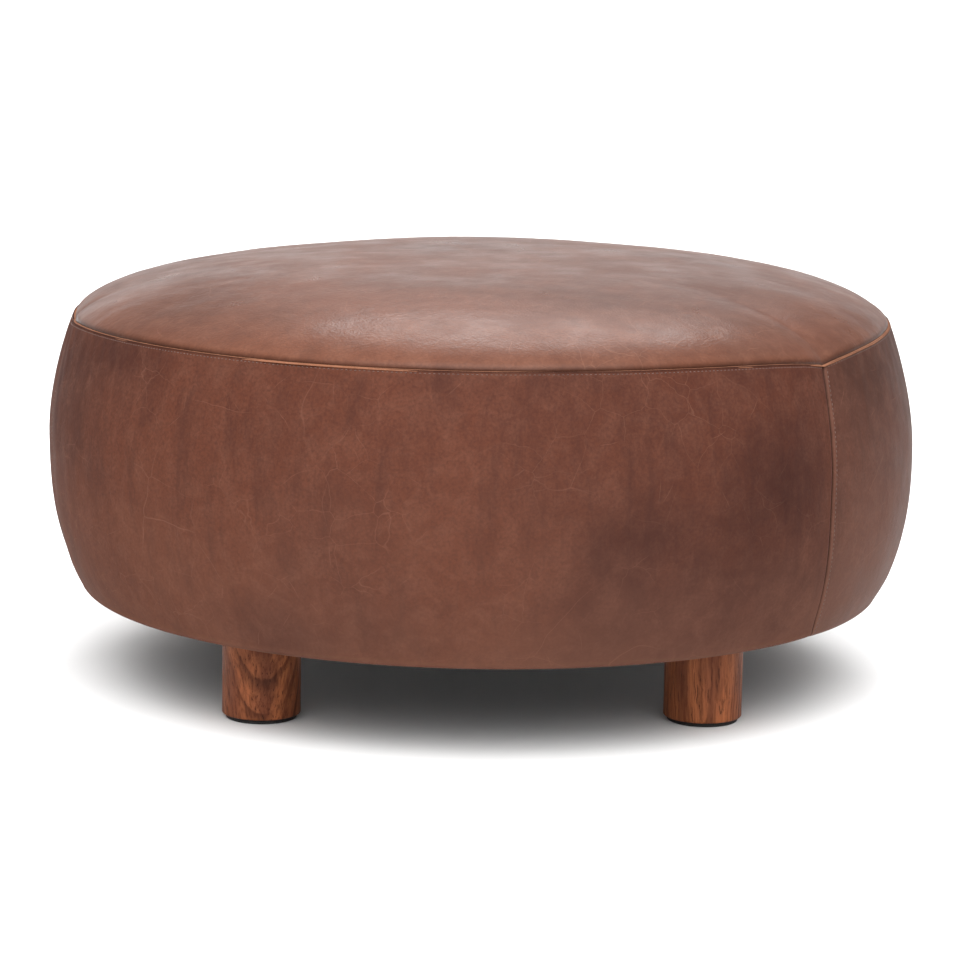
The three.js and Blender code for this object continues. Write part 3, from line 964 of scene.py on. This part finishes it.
def leather(name, deep, middle, warm, pale, gloss, shine):
    """Waxed pull-up leather: cloudy dye, warm patches, pale rubs and scratches, fine grain, with painted shade along
    the seams, painted highlights on the seam ridges and painted floor bounce low on the sides.
    """
    deep, middle, warm, pale = (srgb(*colour) for colour in (deep, middle, warm, pale))
    s = Surface(name, Specular_IOR_Level=shine)
    cloud = s.span(s.noise(4.2, 8.0, 0.60, warp=0.5), 0.38, 0.62)
    colour = s.blend(cloud, deep, middle)
    patches = s.span(s.noise(2.6, 4.0, 0.55, place=s.scaled((1, 1, 1), shift=(3.1, 1.7, 0.4))), 0.42, 0.68)
    colour = s.blend(s.times(patches, 0.85), colour, warm)
    mottle = s.span(s.noise(42.0, 7.0, 0.68, warp=0.6), 0.38, 0.74)
    colour = s.blend(s.times(mottle, 0.22), colour, pale)
    streaks = s.noise(1.0, 5.0, 0.65, place=s.warped(s.scaled((46, 46, 9)), 1.0, 0.8))
    colour = s.blend(s.span(streaks, 0.44, 0.72, 0.0, 0.42), colour, deep)
    fine = s.noise(330.0, 4.0, 0.7)
    colour = s.blend(s.span(fine, 0.38, 0.72, 0.0, 0.34), colour, deep)
    pebble = s.cells(380.0, "SMOOTH_F1", s.warped(s.place, 60.0, 0.004))
    colour = s.blend(s.span(pebble, 0.25, 0.75, 0.0, 0.22), colour, deep)
    veins = s.math("MAXIMUM", vein_net(s, 8.0, 0.0007, 6.5), s.times(vein_net(s, 27.0, 0.0004, 11.0), 0.8))
    colour = s.blend(s.times(veins, 0.34), colour, pale)
    marks = s.math("MAXIMUM", scratches(s, 8.0, 0.05, 0.0004, 0.4), scratches(s, 30.0, 0.014, 0.00035, 0.4))
    colour = s.blend(s.times(marks, 0.38), colour, pale)
    # Painted bounce light from the floor: paler low on the sides.
    light = s.times(s.attribute("light"), s.span(s.noise(7.0, 5.0, 0.6), 0.3, 0.65, 0.5, 1.0))
    colour = s.blend(s.times(light, 0.42), colour, pale)
    cloudy = s.span(s.noise(9.0, 5.0, 0.6, warp=0.4), 0.35, 0.62, 0.5, 1.0)
    dark = s.times(s.attribute("dark"), cloudy)
    colour = s.blend(s.times(dark, 0.72), colour, (deep[0] * 0.45, deep[1] * 0.48, deep[2] * 0.60, 1.0))
    # Pale rubbed wear together with painted highlights on the seam ridges.
    wear_and_ridge_highlight = s.attribute("wear_and_ridge_highlight")
    wear_and_ridge_highlight = s.times(wear_and_ridge_highlight, s.span(s.noise(60.0, 3.0), 0.3, 0.6, 0.5, 1.0))
    colour = s.blend(s.times(wear_and_ridge_highlight, 0.55), colour, pale)
    # Painted shade: darkens the leather in the seam grooves.
    painted_seam_shade = s.attribute("painted_seam_shade")
    colour = s.blend(painted_seam_shade, colour, (deep[0] * 0.2, deep[1] * 0.2, deep[2] * 0.2, 1.0))
    rough = s.span(s.noise(14.0, 6.0, 0.65), 0.3, 0.7, gloss, gloss + 0.12)
    wrinkle = s.noise(40.0, 6.0, 0.65, place=s.scaled((1, 1, 0.55)), warp=1.0)
    normal = s.bump(wrinkle, 0.26, 0.0018)
    normal = s.bump(s.math("ADD", pebble, s.times(fine, 0.6)), 0.22, 0.0006, normal)
    normal = s.bump(s.math("MAXIMUM", veins, marks), 0.12, 0.0004, normal)
    s.set(Base_Color=colour, Roughness=rough, Normal=normal)
    return s.material


def walnut(name):
    """Oiled walnut: orange and umber bands, wavering dark growth lines, dark pores and a fine fibre."""
    s = Surface(name, Specular_IOR_Level=0.12)
    log = s.attribute("log", "Vector")
    bent = s.warped(s.warped(log, 14.0, 0.010), 60.0, 0.0022)
    distance = s.vector("LENGTH", s.scaled((1, 1, 0), bent))
    ring = s.math("FRACT", s.times(distance, 105.0))
    late = s.times(s.span(ring, 0.45, 0.90), s.span(ring, 0.90, 1.0, 1.0, 0.0))
    uneven = s.span(s.noise(1.0, 3.0, place=s.scaled((32, 32, 9), log)), 0.36, 0.60)
    broad = s.span(s.noise(1.0, 4.0, place=s.scaled((46, 46, 4), bent)), 0.36, 0.62)
    colour = s.blend(broad, srgb(114, 64, 42), srgb(158, 93, 58))
    colour = s.blend(s.times(s.times(late, uneven), 0.62), colour, srgb(40, 18, 11))
    fibre = s.noise(1.0, 6.0, 0.7, place=s.scaled((380, 380, 16), bent))
    colour = s.blend(s.span(fibre, 0.40, 0.68, 0.0, 0.62), colour, srgb(58, 26, 15))
    pores = s.span(s.noise(1.0, 3.0, 0.5, place=s.scaled((700, 700, 45), bent)), 0.60, 0.68)
    colour = s.blend(s.times(pores, 0.7), colour, srgb(30, 13, 8))
    rough = s.span(fibre, 0.3, 0.7, 0.42, 0.6)
    normal = s.bump(fibre, 0.2, 0.0004)
    normal = s.bump(pores, 0.3, -0.0004, normal)
    s.set(Base_Color=colour, Roughness=rough, Normal=normal)
    return s.material


def softwood(name, pale, dark, rings_per_metre):
    s = Surface(name, Roughness=0.7)
    bent = s.warped(s.scaled((1, 1, 0.1)), 10.0, 0.012)
    ring = s.math("FRACT", s.times(s.axis(bent, 0), rings_per_metre))
    colour = s.blend(s.span(ring, 0.3, 1.0, 0.0, 0.6), pale, dark)
    fibre = s.noise(1.0, 4.0, place=s.scaled((350, 350, 12)))
    colour = s.blend(s.span(fibre, 0.4, 0.75, 0.0, 0.4), colour, dark)
    s.set(Base_Color=colour, Normal=s.bump(fibre, 0.3, 0.0006))
    return s.material


def plywood(name):
    """Birch plywood: long face grain, and plies that show as bands on the edge."""
    s = Surface(name, Roughness=0.65)
    face = s.noise(1.0, 5.0, 0.6, place=s.warped(s.scaled((4, 130, 130)), 1.0, 0.8))
    colour = s.blend(s.span(face, 0.3, 0.75), srgb(222, 192, 148), srgb(176, 138, 92))
    height = s.axis(s.place, 2)
    ply = s.math("FRACT", s.times(height, 330.0))
    facing = s.axis(s.add("TexCoord").outputs["Normal"], 2)
    edge = s.math("LESS_THAN", s.math("ABSOLUTE", facing), 0.5)
    band = s.times(edge, s.span(ply, 0.45, 0.55, 0.0, 0.6))
    colour = s.blend(band, colour, srgb(130, 92, 58))
    s.set(Base_Color=colour, Normal=s.bump(face, 0.2, 0.0006))
    return s.material


def two_tone(s, pattern, low, high, first, second, strength, distance):
    """Finish a material whose one pattern runs between two colours and raises its surface."""
    colour = s.blend(s.span(pattern, low, high), srgb(*first), srgb(*second))
    s.set(Base_Color=colour, Normal=s.bump(pattern, strength, distance))
    return s.material


def hardboard(name):
    s = Surface(name, Roughness=0.7)
    return two_tone(s, s.noise(700.0, 5.0, 0.7), 0.35, 0.7, (96, 66, 40), (150, 112, 72), 0.3, 0.0005)


def foam_material(name):
    s = Surface(name, Roughness=0.95, Sheen_Weight=0.1)
    return two_tone(s, s.cells(650.0), 0.1, 0.6, (206, 196, 150), (240, 233, 200), 0.5, 0.0008)


def wadding_material(name):
    s = Surface(name, Roughness=1.0, Sheen_Weight=0.3)
    fluff = s.noise(1.0, 7.0, 0.75, place=s.warped(s.scaled((60, 60, 60)), 2.0, 1.5))
    return two_tone(s, fluff, 0.3, 0.7, (224, 223, 218), (248, 248, 246), 0.6, 0.003)


def cambric(name):
    """Black spun cloth with a faint crossed weave."""
    s = Surface(name, Roughness=0.92, Sheen_Weight=0.15)
    weave = s.times(*(s.math("SINE", s.times(s.axis(s.place, number), 3800.0)) for number in (0, 1)))
    lint = s.noise(90.0, 6.0, 0.7)
    colour = s.blend(s.span(lint, 0.35, 0.75), srgb(30, 30, 31), srgb(52, 51, 50))
    colour = s.blend(s.span(weave, -1.0, 1.0, 0.0, 0.35), colour, srgb(70, 69, 67))
    s.set(Base_Color=colour, Normal=s.bump(weave, 0.4, 0.0004))
    return s.material


def rubber(name):
    s = Surface(name, Specular_IOR_Level=0.35)
    speck = s.noise(500.0, 4.0, 0.6)
    s.set(Roughness=s.span(speck, 0.3, 0.7, 0.65, 0.85))
    return two_tone(s, speck, 0.4, 0.75, (24, 22, 21), (46, 42, 40), 0.25, 0.0004)


def zinc(name):
    s = Surface(name, Metallic=1.0)
    crystal = s.cells(260.0, "F1", output="Color")
    grey = s.blend(0.25, srgb(186, 189, 194), crystal, "MULTIPLY")
    scuff = s.noise(1.0, 5.0, place=s.scaled((900, 900, 60)))
    s.set(Base_Color=grey, Roughness=s.span(scuff, 0.3, 0.7, 0.28, 0.5), Normal=s.bump(scuff, 0.15, 0.0002))
    return s.material


def thread(name):
    s = Surface(name, Roughness=0.6, Sheen_Weight=0.2)
    twist = s.math("SINE", s.noise(900.0, 2.0, warp=2.0))
    colour = s.blend(s.span(s.noise(40.0, 3.0), 0.3, 0.7), srgb(60, 37, 28), srgb(84, 54, 41))
    s.set(Base_Color=colour, Normal=s.bump(twist, 0.4, 0.0003))
    return s.material


def wear(piece, material):
    piece.data.materials.clear()
    piece.data.materials.append(material)


# ---- Make the ottoman ----

side_leather = leather("side_leather", (53, 32, 28), (73, 46, 38), (86, 49, 36), (118, 81, 66), 0.60, 0.02)
# A slightly paler, shinier copy of the side leather for the right panel: its paler colour is a painted sheen on that
# panel.
sheen_lit_right_leather = leather("side_leather_right_painted_sheen", (56, 35, 29), (74, 47, 39), (82, 50, 39), (116, 81, 67), 0.50, 0.045)
# The crown's leather is paler than the sides': partly a paler dye on the crown, partly painted light from above.
top_leather = leather("top_leather_skin", (72, 44, 34), (88, 56, 44), (97, 58, 42), (130, 91, 74), 0.27, 0.08)
# The welt's leather is paler than the panels': partly rubbed wear on the edge, partly painted highlight where the
# raised edge catches light.
worn_and_lit_welt_leather = leather("worn_and_lit_welt_leather", (100, 66, 50), (128, 90, 70), (130, 86, 64), (152, 114, 94), 0.6, 0.02)

for side, span in PANEL_SPANS.items():
    wear(make_side_panel(side, *span), sheen_lit_right_leather if side == "right" else side_leather)
wear(make_top_panel(), top_leather)
wear(make_welt(), worn_and_lit_welt_leather)

thread_brown = thread("brown_thread")
wear(make_top_stitches(), thread_brown)
for label, seam in zip(("right", "back", "left"), SEAMS):
    wear(make_side_stitches(f"side_stitches_{label}", seam), thread_brown)

foam = foam_material("seat_foam_cells")
wadding = wadding_material("polyester_wadding")
board_outer = (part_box("side_board")[1].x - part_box("side_board")[0].x) / 2
wear(make_soft_ring("side_wadding", "side_batting", WAD_DEPTH, BATTING, None, 12 * MM), wadding)
wear(make_soft_ring("side_padding", "side_foam", FOAM_DEPTH, 0, board_outer + 1 * MM, 14 * MM), foam)
wear(make_soft_disc("crown_wadding", "crown_batting", WAD_DEPTH, BATTING, 0.955), wadding)
wear(make_soft_disc("seat_padding", "seat_foam", FOAM_DEPTH, 0, 0.91), foam)

wood = walnut("oiled_walnut")
glide_rubber = rubber("glide_rubber")
for number, (where, cut) in LEGS.items():
    wear(make_leg(number, where, *cut), wood)
    wear(make_glide(number, where), glide_rubber)

wear(make_dust_cover(), cambric("black_cambric"))
galvanised = zinc("zinc_plate")
wear(make_staples(), galvanised)

frame_looks = {
    "plywood": plywood("birch_plywood"),
    "softwood": softwood("pine", srgb(222, 190, 140), srgb(176, 128, 78), 160.0),
    "hardboard": hardboard("brown_hardboard"),
    "zinc_steel": galvanised,
}
slot_of = {part["node"]: part["material_slot"] for part in frame["record"]["subparts"]}
for node, piece in frame["nodes"].items():
    if slot_of[node] in frame_looks:
        wear(piece, frame_looks[slot_of[node]])

# ---- Floor, light and camera ----


FLOOR_REACH, FLOOR_Z = 80.0, -0.3 * MM  # just under the glides


def make_floor():
    size, z = FLOOR_REACH, FLOOR_Z
    corners = [(-size, -size, z), (size, -size, z), (size, size, z), (-size, size, z)]
    floor = new_object("floor", corners, [(0, 1, 2, 3)])
    s = Surface("studio_floor", Roughness=0.9, Specular_IOR_Level=0.2)
    s.set(Base_Color=(0.74, 0.74, 0.74, 1.0))
    wear(floor, s.material)


def light_studio():
    """A white room lit from above and in front, a lit backdrop, and one softbox high behind."""
    world = bpy.data.worlds.new("studio")
    n = Nodes(world)
    direction = n.add("TexCoord").outputs["Generated"]
    behind, up = n.axis(direction, 1), n.axis(direction, 2)
    rise = math.radians(STUDIO["front_elevation"])
    toward_front = n.math("ADD", n.times(behind, -math.cos(rise)), n.times(up, math.sin(rise)))
    front = n.span(toward_front, STUDIO["front_edge"], 1.0, 0.0, STUDIO["front"])
    extra = n.times(n.times(up, up), STUDIO["overhead"] - STUDIO["walls"])
    room = n.math("ADD", extra, STUDIO["walls"])
    band = n.times(n.span(up, 0.04, 0.14), n.span(up, 0.16, 0.30, STUDIO["backdrop"], 0.0))
    backdrop = n.times(band, n.span(behind, 0.45, 0.92))
    background = n.tree.nodes["Background"].inputs
    n.put(background["Color"], (1, 1, 1, 1))
    n.put(background["Strength"], n.math("ADD", n.math("ADD", room, backdrop), front))
    bpy.context.scene.world = world
    bpy.context.scene.view_settings.view_transform = "Standard"

    softbox = bpy.data.lights.new("softbox", "AREA")
    softbox.shape = "RECTANGLE"
    softbox.size, softbox.size_y, softbox.energy = SOFTBOX["width"], SOFTBOX["depth"], SOFTBOX["watts"]
    holder = linked("softbox", softbox)
    azimuth, rise = math.radians(SOFTBOX["right_of_back"]), math.radians(SOFTBOX["elevation"])
    away = Vector((math.cos(rise) * math.sin(azimuth), math.cos(rise) * math.cos(azimuth), math.sin(rise)))
    holder.location = Vector((0, 0, SEAM_Z)) + away * SOFTBOX["distance"]
    holder.rotation_euler = away.to_track_quat("Z", "Y").to_euler()


STUDIO = {"walls": 0.14, "overhead": 2.1, "backdrop": 1.8, "front": 6.8, "front_elevation": 54, "front_edge": 0.74}
SOFTBOX = {"width": 1.5, "depth": 0.7, "watts": 33.0, "distance": 3.0, "elevation": 46.0, "right_of_back": 9.0}
# The camera stands off the front, at -Y: turned about Z, looking down and rolled, by degrees.
CAMERA = {"turn": -2.3, "distance": 3.6045, "height": 0.853, "down": 10.37, "roll": 0.95, "lens": 130.3}
SHIFT = (0.0029, 0.0078)


def place_camera():
    camera = bpy.data.cameras.new("camera")
    camera.lens = CAMERA["lens"]
    camera.sensor_width = 36
    camera.shift_x, camera.shift_y = SHIFT
    camera.clip_end = 300
    holder = linked("camera", camera)
    turn = math.radians(CAMERA["turn"])
    place = (CAMERA["distance"] * math.sin(turn), -CAMERA["distance"] * math.cos(turn), CAMERA["height"])
    look = Matrix.Rotation(turn, 4, "Z") @ Matrix.Rotation(math.radians(90 - CAMERA["down"]), 4, "X")
    holder.matrix_world = Matrix.Translation(place) @ look @ Matrix.Rotation(math.radians(CAMERA["roll"]), 4, "Z")
    bpy.context.scene.camera = holder


make_floor()
light_studio()
place_camera()
